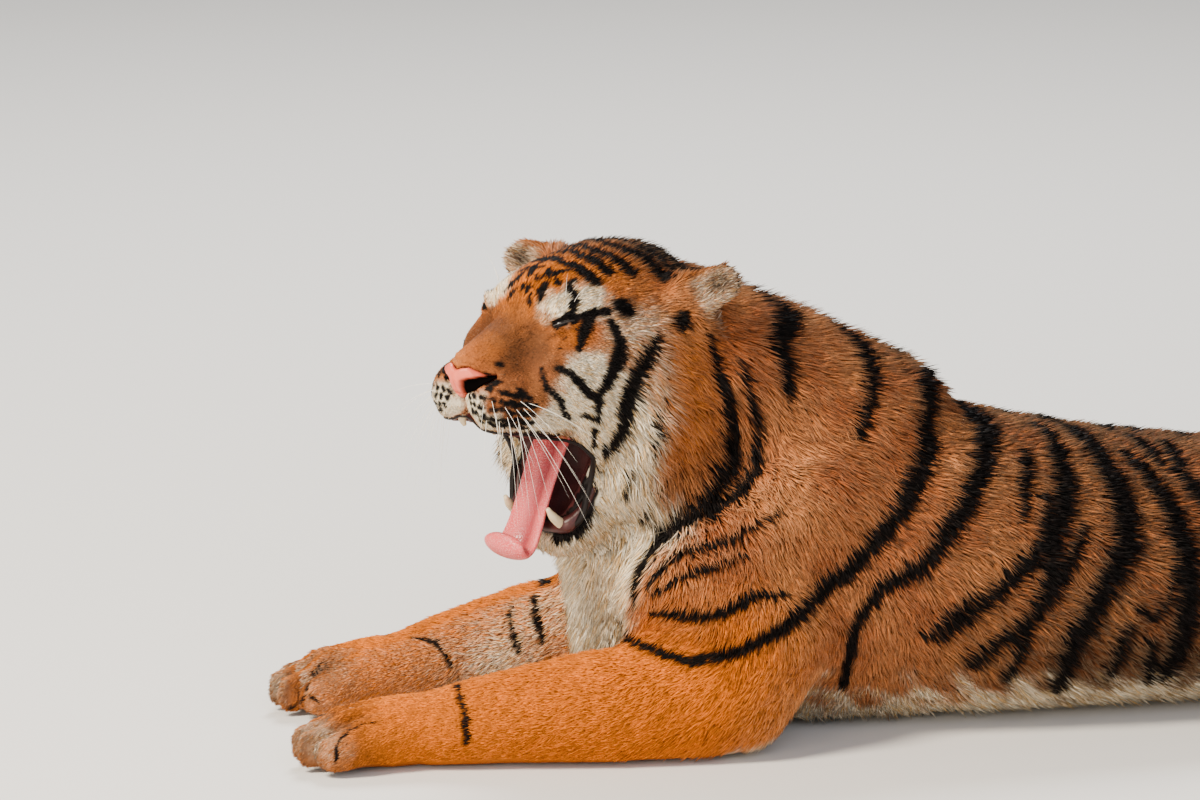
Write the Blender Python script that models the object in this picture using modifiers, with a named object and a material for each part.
"""A life-size Siberian tiger that lies on its belly, forelegs stretched out, and yawns.

Frame: metres, +Z up, floor at z = 0.  The tiger looks along -X, its left side is at -Y, and the
origin is the floor point under the middle of the whole animal, tail included.

The coat's outline is built first, as overlapping rounded volumes: each volume is the hull of two
or more ellipsoids.  They are fused into one skin, the mouth is hollowed, the underside is cut flat
where it rests, and box-shaped regions then part the animal into its named nodes.
"""

import math

import bmesh
import bpy
from mathutils import Matrix, Vector

# ---------------------------------------------------------------- driving sizes, in metres
GAP = 0.0004                 # clear space that every parting cut leaves
BODY_VOXEL = 0.010           # grain of the trunk and legs before the head joins them
SKIN_VOXEL = 0.006           # grain of the head and of the whole skin
BODY_FACES = 4180            # faces kept on the fused skin before it is parted

# The body frame stands on the floor below the ears; this moves its origin to the footprint's middle.
BODY_PLACE = Vector((-0.5913, 0.1064, 0.0))

# Head: the origin is midway between the ears, x runs to the nose, y to its left, z to its crown.
HEAD_PLACE = Vector((-0.003, -0.060, 0.569))
HEAD_YAW = math.radians(32)      # turned to the tiger's left
HEAD_PITCH = math.radians(7)     # nose up
HEAD_ROLL = math.radians(3.5)    # left ear down
JAW_HINGE = Vector((0.022, 0.0, -0.112))
JAW_GAPE = math.radians(60)

SIDES = (("left", -1), ("right", 1))     # the sign of y in the body frame


# ---------------------------------------------------------------- scene and small helpers
def clear_scene():
    for thing in list(bpy.data.objects):
        bpy.data.objects.remove(thing, do_unlink=True)


def new_collection(name):
    group = bpy.data.collections.new(name)
    bpy.context.scene.collection.children.link(group)
    return group


def make_material(name, colour, roughness):
    material = bpy.data.materials.new(name)
    material.use_nodes = True
    shader = material.node_tree.nodes["Principled BSDF"]
    shader.inputs["Base Color"].default_value = (*colour, 1.0)
    shader.inputs["Roughness"].default_value = roughness
    shader.inputs["Metallic"].default_value = 0.0
    return material


def head_frame():
    """The matrix that takes head coordinates to body coordinates."""
    turn = Matrix.Rotation(math.pi + HEAD_YAW, 4, "Z")
    turn = turn @ Matrix.Rotation(-HEAD_PITCH, 4, "Y")
    turn = turn @ Matrix.Rotation(-HEAD_ROLL, 4, "X")
    return Matrix.Translation(HEAD_PLACE) @ turn


def jaw_frame():
    """Head coordinates with the mouth shut, swung open about the jaw's hinge."""
    swing = Matrix.Rotation(JAW_GAPE, 4, "Y")
    return head_frame() @ Matrix.Translation(JAW_HINGE) @ swing @ Matrix.Translation(-JAW_HINGE)


def mirrored(point, side):
    return Vector((point[0], point[1] * side, point[2]))


def mesh_object(name, mesh_data, group):
    thing = bpy.data.objects.new(name, mesh_data)
    group.objects.link(thing)
    return thing


# ---------------------------------------------------------------- rounded volumes
def add_hull(mesh, balls, frame, segments=20):
    """One closed volume: the hull of several ellipsoids, each (centre, radii)."""
    link = bmesh.new()
    for centre, radii in balls:
        place = frame @ Matrix.Translation(centre) @ Matrix.Diagonal((*radii, 1.0))
        bmesh.ops.create_uvsphere(
            link, u_segments=segments, v_segments=segments // 2, radius=1.0, matrix=place
        )
    bmesh.ops.delete(link, geom=link.edges[:], context="EDGES_FACES")
    hull = bmesh.ops.convex_hull(link, input=link.verts[:])
    inside = [item for item in hull["geom_interior"] if isinstance(item, bmesh.types.BMVert)]
    bmesh.ops.delete(link, geom=inside, context="VERTS")
    bmesh.ops.recalc_face_normals(link, faces=link.faces[:])
    piece = bpy.data.meshes.new("link")
    link.to_mesh(piece)
    link.free()
    mesh.from_mesh(piece)
    bpy.data.meshes.remove(piece)


def radii3(size):
    """A single radius stands for a ball."""
    return size if isinstance(size, tuple) else (size, size, size)


def add_chain(mesh, stations, frame, segments=20):
    """A row of ellipsoids (centre, radii), with a hull over each neighbouring pair."""
    for here, there in zip(stations, stations[1:]):
        pair = [(here[0], radii3(here[1])), (there[0], radii3(there[1]))]
        add_hull(mesh, pair, frame, segments)


def smooth_path(points, steps):
    """Points of a smooth curve through the given ones, with the radii eased along it too."""
    path = []
    for index in range(len(points) - 1):
        before = points[max(index - 1, 0)]
        here = points[index]
        after = points[index + 1]
        beyond = points[min(index + 2, len(points) - 1)]
        for step in range(steps):
            t = step / steps
            row = []
            for a, b, c, d in zip(before, here, after, beyond):
                bend = (2 * a - 5 * b + 4 * c - d) * t * t + (3 * b - a - 3 * c + d) * t ** 3
                row.append(0.5 * (2 * b + (c - a) * t + bend))
            path.append(tuple(row))
    path.append(tuple(points[-1]))
    return path


# ---------------------------------------------------------------- the forms of the body
# Barrel of the body: x, half width, underside, top.
TRUNK = (
    (0.075, 0.135, 0.010, 0.330),
    (0.160, 0.195, -0.012, 0.400),
    (0.280, 0.225, -0.012, 0.430),
    (0.400, 0.238, -0.012, 0.410),
    (0.520, 0.243, -0.012, 0.374),
    (0.660, 0.243, -0.012, 0.345),
    (0.800, 0.232, -0.012, 0.325),
    (0.960, 0.210, -0.012, 0.322),
    (1.110, 0.185, -0.010, 0.315),
    (1.210, 0.155, 0.000, 0.280),
    (1.275, 0.105, 0.020, 0.225),
)
TRUNK_STATION = 0.07         # half length of each trunk ellipsoid

# Neck: centre x, y, z, then half depth, half width, half height.
NECK = (
    ((0.300, 0.000, 0.335), (0.140, 0.180, 0.150)),
    ((0.200, -0.005, 0.400), (0.145, 0.160, 0.134)),
    ((0.130, -0.025, 0.455), (0.125, 0.142, 0.108)),
    ((0.070, -0.040, 0.520), (0.090, 0.110, 0.082)),
)
BREAST = (
    ((0.090, -0.010, 0.330), (0.130, 0.158, 0.120)),
    ((0.075, 0.000, 0.220), (0.125, 0.170, 0.120)),
    ((0.060, 0.000, 0.120), (0.095, 0.135, 0.110)),
)

# Shoulder blade, from the point of the shoulder up to the withers.
BLADE = (
    ((0.080, 0.145, 0.210), 0.092),
    ((0.230, 0.130, 0.300), 0.100),
    ((0.378, 0.045, 0.388), 0.068),
)
UPPER_ARM = (
    ((0.075, 0.155, 0.195), 0.090),
    ((0.165, 0.175, 0.150), 0.090),
    ((0.125, 0.195, 0.070), 0.074),
)
SHOULDER_MASS = (
    ((0.190, 0.120, 0.240), (0.130, 0.100, 0.130)),
    ((0.320, 0.110, 0.250), (0.120, 0.110, 0.130)),
)
# Forearm on the floor, from the elbow to the wrist: left, then right reaches a little less.
FOREARM = (
    ((0.095, 0.198, 0.066), (0.072, 0.066, 0.076)),
    ((-0.035, 0.188, 0.068), (0.075, 0.066, 0.080)),
    ((-0.160, 0.170, 0.058), (0.060, 0.056, 0.064)),
    ((-0.255, 0.152, 0.044), (0.050, 0.052, 0.052)),
)
FORELEG_LAG = {"left": 0.0, "right": 0.030}     # the right paw lies a little further back
PAW_RISE = 0.030             # height of a toe's middle
HIND_HEEL = (0.985, 0.268, 0)

THIGH = (
    ((1.120, 0.110, 0.190), (0.120, 0.080, 0.120)),
    ((1.020, 0.165, 0.160), (0.150, 0.090, 0.150)),
    ((0.910, 0.205, 0.120), (0.095, 0.075, 0.120)),
)
SHANK = (
    ((0.900, 0.205, 0.070), (0.085, 0.065, 0.082)),
    ((1.200, 0.215, 0.042), (0.055, 0.050, 0.052)),
)
HIND_FOOT = (
    ((1.215, 0.235, 0.032), (0.045, 0.042, 0.042)),
    ((1.080, 0.258, 0.028), (0.045, 0.042, 0.039)),
    ((0.985, 0.265, 0.027), (0.050, 0.048, 0.037)),
)

# Tail, laid on the floor round the left hind leg: x, y, z, radius.
TAIL = (
    (1.270, 0.000, 0.150, 0.070),
    (1.360, -0.020, 0.075, 0.052),
    (1.460, -0.060, 0.034, 0.045),
    (1.540, -0.150, 0.030, 0.043),
    (1.570, -0.270, 0.030, 0.042),
    (1.525, -0.385, 0.030, 0.042),
    (1.425, -0.465, 0.029, 0.041),
    (1.305, -0.505, 0.027, 0.038),
    (1.195, -0.505, 0.022, 0.026),
)


def add_trunk(mesh, frame):
    stations = []
    for x, half_width, low, high in TRUNK:
        middle = (low + high) / 2
        stations.append(((x, 0, middle), (TRUNK_STATION, half_width, (high - low) / 2)))
    add_chain(mesh, stations, frame, 28)
    add_chain(mesh, NECK, frame, 24)
    add_chain(mesh, BREAST, frame, 24)


def add_paw(mesh, wrist, heading, frame, size=1.0):
    """A paw that lies on its pads: palm, four toes that fan out, and the heel of the wrist."""
    turn = Matrix.Translation(wrist) @ Matrix.Rotation(heading, 4, "Z")
    place = frame @ turn
    palm = [
        (Vector((0.005, 0, 0.046)) * size, (0.045 * size, 0.050 * size, 0.049 * size)),
        (Vector((-0.065, 0, 0.040)) * size, (0.050 * size, 0.060 * size, 0.045 * size)),
    ]
    add_hull(mesh, palm, place)
    for across, reach in ((-0.045, -0.098), (-0.017, -0.121), (0.015, -0.124), (0.044, -0.104)):
        toe = [
            (Vector((reach + 0.035, across * 0.85, 0.034)) * size, (0.026 * size,) * 3),
            (Vector((reach, across, PAW_RISE)) * size, (0.026 * size, 0.020 * size, 0.031 * size)),
        ]
        add_hull(mesh, toe, place, 14)


def add_legs(mesh, frame):
    for name, side in SIDES:
        reach = FORELEG_LAG[name]
        for form in (BLADE, UPPER_ARM, SHOULDER_MASS, THIGH, SHANK, HIND_FOOT):
            add_chain(mesh, [(mirrored(point, side), size) for point, size in form], frame)
        forearm = []
        for point, size in FOREARM:
            share = (FOREARM[0][0][0] - point[0]) / (FOREARM[0][0][0] - FOREARM[-1][0][0])
            forearm.append((mirrored((point[0] + reach * share, *point[1:]), side), size))
        add_chain(mesh, forearm, frame)


def add_paws(mesh, frame):
    """The forepaws lie ahead of the wrists, and the hind paws beside the belly."""
    for name, side in SIDES:
        reach = FORELEG_LAG[name]
        end = FOREARM[-1][0]
        wrist = mirrored((end[0] + reach - 0.025, end[1] - 0.003, 0), side)
        add_paw(mesh, wrist, math.radians(5) * side, frame)
        add_paw(mesh, mirrored(HIND_HEEL, side), math.radians(-4) * side, frame, 0.86)


def add_tail(mesh, frame):
    path = smooth_path(TAIL, 4)
    add_chain(mesh, [((x, y, z), radius) for x, y, z, radius in path], frame, 16)


# ---------------------------------------------------------------- the forms of the head
SKULL = (
    ((-0.014, 0, -0.034), (0.110, 0.116, 0.100)),     # cranium
    ((0.085, 0, -0.040), (0.085, 0.092, 0.080)),      # forehead
)
BRIDGE = (
    ((0.115, 0, -0.060), (0.060, 0.058, 0.050)),
    ((0.175, 0, -0.080), (0.045, 0.042, 0.040)),
    ((0.224, 0, -0.098), (0.034, 0.032, 0.031)),
)
BROW = (
    ((0.118, 0.046, -0.030), (0.045, 0.036, 0.034)),
    ((0.060, 0.070, -0.020), (0.050, 0.036, 0.040)),
)
CHEEK = (
    ((0.135, 0.060, -0.085), (0.040, 0.036, 0.042)),
    ((0.045, 0.082, -0.060), (0.060, 0.045, 0.060)),
    ((0.050, 0.080, -0.145), (0.050, 0.042, 0.060)),
)
MUZZLE = (
    ((0.204, 0.033, -0.130), (0.044, 0.038, 0.043)),
    ((0.130, 0.047, -0.130), (0.050, 0.036, 0.050)),
)
RUFF = (
    ((0.030, 0.092, -0.060), (0.050, 0.040, 0.055)),
    ((-0.060, 0.090, -0.030), (0.050, 0.050, 0.055)),
    ((0.010, 0.108, -0.140), (0.058, 0.045, 0.060)),
    ((-0.085, 0.095, -0.140), (0.055, 0.055, 0.080)),
    ((-0.005, 0.085, -0.235), (0.050, 0.042, 0.045)),
)
THROAT = (
    ((-0.040, 0, -0.150), (0.070, 0.100, 0.080)),
    ((-0.030, 0, -0.260), (0.050, 0.065, 0.060)),
)
# The lower jaw, with the mouth shut.
JAW_SIDE = (
    ((0.200, 0.030, -0.190), (0.030, 0.030, 0.031)),
    ((0.150, 0.055, -0.182), (0.032, 0.027, 0.042)),
    ((0.050, 0.074, -0.165), (0.050, 0.034, 0.055)),
)
JAW_FLOOR = (
    ((0.198, 0, -0.202), (0.033, 0.046, 0.030)),
    ((0.090, 0, -0.208), (0.055, 0.070, 0.036)),
)
MOUTH = (
    ((0.190, 0, -0.166), (0.040, 0.036, 0.020)),
    ((0.068, 0, -0.162), (0.028, 0.046, 0.030)),
    ((0.066, 0, -0.252), (0.034, 0.040, 0.034)),
    ((0.130, 0, -0.235), (0.040, 0.040, 0.034)),
)

EAR_LENGTH = 0.096
EAR_WIDTH = 0.086
EAR_DEPTH = 0.046
EARS = (
    # side, base of the ear, direction to its tip, direction that the cup faces
    ("left", Vector((-0.014, 0.105, 0.000)), Vector((-0.40, 0.72, 0.58)), Vector((0.80, 0.50, 0.20))),
    ("right", Vector((-0.008, -0.102, 0.000)), Vector((0.00, -0.95, 0.10)), Vector((0.90, -0.10, 0.30))),
)

EAR_ROOT = 0.040             # where the ear's own node starts, from its base

# Eyelids, pressed shut: middle of the slit, and the way from its inner to its outer corner.
EYE_SLIT = Vector((0.1465, 0.0620, -0.0295))
EYE_WAY = Vector((-0.33, 0.84, 0.42))
EYE_OUT = Vector((0.80, 0.50, 0.05))
EYE_SIZE = (0.020, 0.0055, 0.009)        # half length, half height, half depth

NOSE_LOW = (0.236, -0.034, -0.124)
NOSE_HIGH = (0.300, 0.034, -0.084)

# Tongue, out over the lower lip, its tip curled forward and up: x, z, half width.
TONGUE = (
    (0.050, -0.170, 0.026),
    (0.070, -0.205, 0.028),
    (0.083, -0.258, 0.027),
    (0.093, -0.300, 0.029),
    (0.103, -0.322, 0.032),
    (0.119, -0.330, 0.033),
    (0.132, -0.320, 0.033),
    (0.131, -0.304, 0.032),
)
TONGUE_THICKNESS = 0.012

# Lower canines, in the opened head's coordinates: root, tip, root radius.
CANINE_ROOT = Vector((0.066, 0.037, -0.286))
CANINE_TIP = Vector((0.106, 0.037, -0.260))
CANINE_RADIUS = 0.0075


def both_sides(stations):
    """Head forms that come in pairs, given for the left side."""
    for side in (1, -1):
        yield [(mirrored(point, side), size) for point, size in stations]


def add_head(mesh, frame):
    add_chain(mesh, SKULL, frame, 28)
    add_chain(mesh, BRIDGE, frame, 24)
    add_chain(mesh, THROAT, frame, 24)
    for stations in both_sides(MUZZLE):
        add_chain(mesh, stations, frame, 24)
    for form in (BROW, CHEEK, RUFF):
        for stations in both_sides(form):
            add_hull(mesh, stations, frame, 24)


def add_jaw(mesh, frame):
    for stations in both_sides(JAW_SIDE):
        add_chain(mesh, stations, frame, 24)
    add_chain(mesh, JAW_FLOOR, frame, 24)


def ear_frame(base, tip_way, cup_way):
    """x towards the tip, z out of the cup."""
    along = tip_way.normalized()
    across = cup_way.cross(along).normalized()
    facing = along.cross(across).normalized()
    turn = Matrix((along, across, facing)).transposed().to_4x4()
    return Matrix.Translation(base) @ turn


# ---------------------------------------------------------------- from volumes to solids
def replace_mesh(thing):
    """Make the modifiers' result the object's own mesh."""
    graph = bpy.context.evaluated_depsgraph_get()
    mesh_data = bpy.data.meshes.new_from_object(thing.evaluated_get(graph))
    old = thing.data
    thing.modifiers.clear()
    thing.data = mesh_data
    bpy.data.meshes.remove(old)


def fuse(name, build, group):
    """Fill a bmesh with overlapping volumes and return them as one object."""
    mesh = bmesh.new()
    build(mesh)
    mesh_data = bpy.data.meshes.new(name)
    mesh.to_mesh(mesh_data)
    mesh.free()
    return mesh_object(name, mesh_data, group)


def remesh(thing, voxel, smooth_steps):
    cover = thing.modifiers.new("Cover", "REMESH")
    cover.mode = "VOXEL"
    cover.voxel_size = voxel
    cover.adaptivity = 0.0
    soften = thing.modifiers.new("Soften", "SMOOTH")
    soften.factor = 0.5
    soften.iterations = smooth_steps
    replace_mesh(thing)


def thin_out(thing, faces):
    """Collapse the mesh to about this many triangles."""
    thinner = thing.modifiers.new("Thin", "DECIMATE")
    triangles = sum(len(face.vertices) - 2 for face in thing.data.polygons)
    thinner.ratio = faces / triangles
    replace_mesh(thing)


def cut(thing, cutter, operation):
    boolean = thing.modifiers.new("Cut", "BOOLEAN")
    boolean.operation = operation
    boolean.solver = "EXACT"
    boolean.object = cutter
    replace_mesh(thing)


def make_cutter(name, build, group):
    cutter = fuse(name, build, group)
    cutter.hide_render = True
    cutter.display_type = "WIRE"
    return cutter


def box_cutter(name, low, high, frame, group, grow=0.0):
    """A box from its lowest to its highest corner, in the frame's coordinates."""
    low = Vector(low) - Vector((grow,) * 3)
    high = Vector(high) + Vector((grow,) * 3)
    size = high - low

    def build(mesh):
        place = frame @ Matrix.Translation((low + high) / 2) @ Matrix.Diagonal((*size, 1.0))
        bmesh.ops.create_cube(mesh, size=1.0, matrix=place)

    return make_cutter(name, build, group)


class Tiger:
    """The collections, the materials, the frames and the cuts that part the body."""

    def __init__(self):
        self.group = new_collection("siberian_tiger")
        self.cutters = new_collection("cutters")
        self.fur = make_material("winter_coat", (0.62, 0.24, 0.06), 0.85)
        self.leather = make_material("nose_leather", (0.72, 0.27, 0.22), 0.45)
        self.flesh = make_material("wet_tongue", (0.75, 0.22, 0.22), 0.30)
        self.enamel = make_material("tooth_enamel", (0.80, 0.68, 0.45), 0.30)
        self.lid = make_material("wet_eye", (0.03, 0.02, 0.02), 0.15)
        self.place = Matrix.Translation(BODY_PLACE)
        self.head = self.place @ head_frame()
        self.jaw = self.place @ jaw_frame()

    def split(self, thing, name, low, high, frame=None):
        """Part what lies inside a box from a body, and return it as a named node."""
        frame = frame or self.place
        inner = box_cutter(f"{name}_region", low, high, frame, self.cutters)
        outer = box_cutter(f"{name}_gap", low, high, frame, self.cutters, GAP)
        piece = mesh_object(name, thing.data.copy(), self.group)
        cut(piece, inner, "INTERSECT")
        cut(thing, outer, "DIFFERENCE")
        return piece

    def split_side(self, thing, name, side, low, high, turn=0.0):
        """The same with a box given for +Y and turned about Z, mirrored to the side asked for."""
        if side < 0:
            low, high = (low[0], -high[1], low[2]), (high[0], -low[1], high[2])
        return self.split(thing, name, low, high, self.place @ Matrix.Rotation(turn * side, 4, "Z"))

    def seat(self, thing, body):
        """Clear the room that a separate piece takes in the body, with the gap round it."""
        room = mesh_object(f"{thing.name}_room", thing.data.copy(), self.cutters)
        room.hide_render = True
        room.display_type = "WIRE"
        swell = room.modifiers.new("Swell", "DISPLACE")
        swell.mid_level = 0.0
        swell.strength = GAP
        replace_mesh(room)
        cut(body, room, "DIFFERENCE")


def join_forms(body, forms):
    """Put other closed forms into the body's mesh; the next remesh fuses them."""
    mesh = bmesh.new()
    mesh.from_mesh(body.data)
    for form in forms:
        mesh.from_mesh(form.data)
    mesh.to_mesh(body.data)
    mesh.free()


def make_ear(tiger, name, base, tip_way, cup_way):
    """A rounded ear: a flat egg whose front is scooped out."""
    frame = tiger.head @ ear_frame(base, tip_way, cup_way)
    egg = [
        ((0.000, 0, 0), (0.030, EAR_WIDTH * 0.50, EAR_DEPTH * 0.50)),
        ((EAR_LENGTH - 0.032, 0, 0), (0.032, EAR_WIDTH * 0.40, EAR_DEPTH * 0.38)),
    ]
    scoop = [
        ((0.030, 0, EAR_DEPTH * 0.66), (0.024, EAR_WIDTH * 0.30, EAR_DEPTH * 0.48)),
        ((EAR_LENGTH - 0.036, 0, EAR_DEPTH * 0.62), (0.020, EAR_WIDTH * 0.24, EAR_DEPTH * 0.48)),
    ]
    ear = make_cutter(f"ear_{name}_form", lambda mesh: add_hull(mesh, egg, frame, 24), tiger.cutters)
    hollow = make_cutter(
        f"ear_{name}_hollow", lambda mesh: add_hull(mesh, scoop, frame, 24), tiger.cutters
    )
    cut(ear, hollow, "DIFFERENCE")
    return ear


def make_body(tiger):
    """The whole coat outline as one closed skin, with the mouth open and the underside flat."""

    def build_trunk(mesh):
        add_trunk(mesh, tiger.place)
        add_legs(mesh, tiger.place)
        add_tail(mesh, tiger.place)

    def build_ends(mesh):
        add_head(mesh, tiger.head)
        add_jaw(mesh, tiger.jaw)
        add_paws(mesh, tiger.place)

    body = fuse("chest", build_trunk, tiger.group)
    remesh(body, BODY_VOXEL, 14)
    ends = make_cutter("head_and_paws", build_ends, tiger.cutters)
    remesh(ends, SKIN_VOXEL, 4)
    mouth = make_cutter(
        "mouth_hollow", lambda mesh: add_hull(mesh, MOUTH, tiger.head, 24), tiger.cutters
    )
    cut(ends, mouth, "DIFFERENCE")
    ears = [make_ear(tiger, *ear) for ear in EARS]
    join_forms(body, [ends, *ears])
    remesh(body, SKIN_VOXEL, 4)
    thin_out(body, BODY_FACES)
    floor = box_cutter("floor", (-3, -3, -1), (3, 3, 0), tiger.place, tiger.cutters)
    cut(body, floor, "DIFFERENCE")
    body.data.materials.clear()
    body.data.materials.append(tiger.fur)
    return body


def make_tongue(tiger):
    path = smooth_path(TONGUE, 3)
    half = TONGUE_THICKNESS / 2

    def build(mesh):
        stations = [((x, 0, z), (half, half_width, half)) for x, z, half_width in path]
        add_chain(mesh, stations, tiger.head, 16)

    tongue = fuse("tongue", build, tiger.group)
    remesh(tongue, 0.003, 3)
    thin_out(tongue, 320)
    tongue.data.materials.clear()
    tongue.data.materials.append(tiger.flesh)
    return tongue


def make_canine(tiger, name, side):
    """A cone with a rounded tip, rooted in the lower jaw."""
    root = mirrored(CANINE_ROOT, side)
    tip = mirrored(CANINE_TIP, side)

    def build(mesh):
        add_hull(mesh, [(root, (CANINE_RADIUS,) * 3), (tip, (0.0022,) * 3)], tiger.head, 8)

    canine = fuse(f"lower_canine_{name}", build, tiger.group)
    canine.data.materials.append(tiger.enamel)
    return canine


def make_eye(tiger, name, side):
    """What shows of a shut eye: a slim wet lens in the slit between the lids."""
    along = EYE_WAY.normalized()
    across = EYE_OUT.cross(along).normalized()
    outward = along.cross(across).normalized()
    turn = Matrix((along, across, outward)).transposed().to_4x4()
    mirror = Matrix.Diagonal((1, side, 1, 1))
    frame = tiger.head @ mirror @ Matrix.Translation(EYE_SLIT) @ turn

    def build(mesh):
        add_hull(mesh, [((0, 0, 0), EYE_SIZE)], frame, 10)

    eye = fuse(f"eye_{name}", build, tiger.group)
    eye.data.materials.append(tiger.lid)
    return eye


# ---------------------------------------------------------------- parting the body into nodes
HEAD_CUT = Matrix.Translation((-0.095, 0, 0.08)) @ Matrix.Rotation(math.radians(-9), 4, "Y")
JAW_CUT = Matrix.Translation((0.100, 0, -0.205)) @ Matrix.Rotation(math.radians(-18), 4, "Y")
NECK_CUT = Matrix.Translation((0.100, 0, 0.385)) @ Matrix.Rotation(math.radians(-40.8), 4, "Y")
FORELEG_INNER = 0.104
FORELEG_TURN = math.radians(6)           # the forelegs close in towards the paws
FORELEG_TOP = 0.262
FORELEG_BACK = 0.215
ELBOW_CUT = 0.020
WRIST_CUT = -0.275
HINDLEG_INNER = 0.145
HINDLEG_TOP = 0.245
HINDLEG_FRONT = 0.800
SHANK_TOP = 0.082
HIND_PAW_BACK = 1.000
CHEST_BACK = 0.430
BARREL_BACK = 0.860
TAIL_ROOT = 1.305
FAR = 3.0                    # well outside the animal


def part_head(tiger, body):
    frame = tiger.head @ HEAD_CUT
    head = tiger.split(body, "head", (0, -0.35, -0.440), (0.60, 0.35, 0.35), frame)
    for name, base, tip_way, cup_way in EARS:
        ear = tiger.head @ ear_frame(base, tip_way, cup_way)
        tiger.split(head, f"ear_{name}", (EAR_ROOT, -0.055, -0.035), (0.20, 0.055, 0.035), ear)
    nose = tiger.split(head, "nose", NOSE_LOW, NOSE_HIGH, tiger.head)
    nose.data.materials.clear()
    nose.data.materials.append(tiger.leather)
    tiger.split(head, "lower_jaw", (-0.50, -0.35, -0.40), (0.03, 0.35, 0), tiger.head @ JAW_CUT)


def part_legs(tiger, body):
    for name, side in SIDES:
        low = (-FAR, FORELEG_INNER, -FAR)
        cuts = (
            (f"upper_foreleg_{name}", (FORELEG_BACK, FAR, FORELEG_TOP)),
            (f"forearm_{name}", (ELBOW_CUT, FAR, FAR)),
            (f"forepaw_{name}", (WRIST_CUT, FAR, FAR)),
        )
        part_limb(tiger, body, side, low, cuts, FORELEG_TURN)
        low = (HINDLEG_FRONT, HINDLEG_INNER, -FAR)
        cuts = (
            (f"thigh_{name}", (TAIL_ROOT, 0.40, HINDLEG_TOP)),
            (f"shank_{name}", (FAR, FAR, SHANK_TOP)),
            (f"hind_paw_{name}", (HIND_PAW_BACK, FAR, FAR)),
        )
        part_limb(tiger, body, side, low, cuts, 0.0)


def part_limb(tiger, body, side, low, cuts, turn):
    """Part a limb from the body, then each further length from the one before it."""
    rest = body
    for name, high in cuts:
        rest = tiger.split_side(rest, name, side, low, high, turn)


def part_tail(tiger, body):
    """Tip first, so that each box only has to clear what is left."""
    tiger.split(body, "tail_tip", (1.0, -FAR, -FAR), (1.400, -0.42, FAR))
    tiger.split(body, "tail_end", (1.0, -FAR, -FAR), (FAR, -0.330, FAR))
    tiger.split(body, "tail_middle", (TAIL_ROOT, -FAR, -FAR), (FAR, -0.110, FAR))
    tiger.split(body, "tail_base", (TAIL_ROOT, -FAR, -FAR), (FAR, FAR, FAR))


def main():
    clear_scene()
    tiger = Tiger()
    body = make_body(tiger)
    tiger.seat(make_tongue(tiger), body)
    for name, side in (("left", 1), ("right", -1)):
        tiger.seat(make_canine(tiger, name, side), body)
        tiger.seat(make_eye(tiger, name, side), body)
    part_head(tiger, body)
    tiger.split(body, "neck", (-0.215, -0.4, 0), (0.33, 0.4, 0.6), tiger.place @ NECK_CUT)
    part_tail(tiger, body)
    part_legs(tiger, body)
    tiger.split(body, "hindquarters", (BARREL_BACK, -FAR, -FAR), (FAR, FAR, FAR))
    tiger.split(body, "barrel", (CHEST_BACK, -FAR, -FAR), (FAR, FAR, FAR))


main()
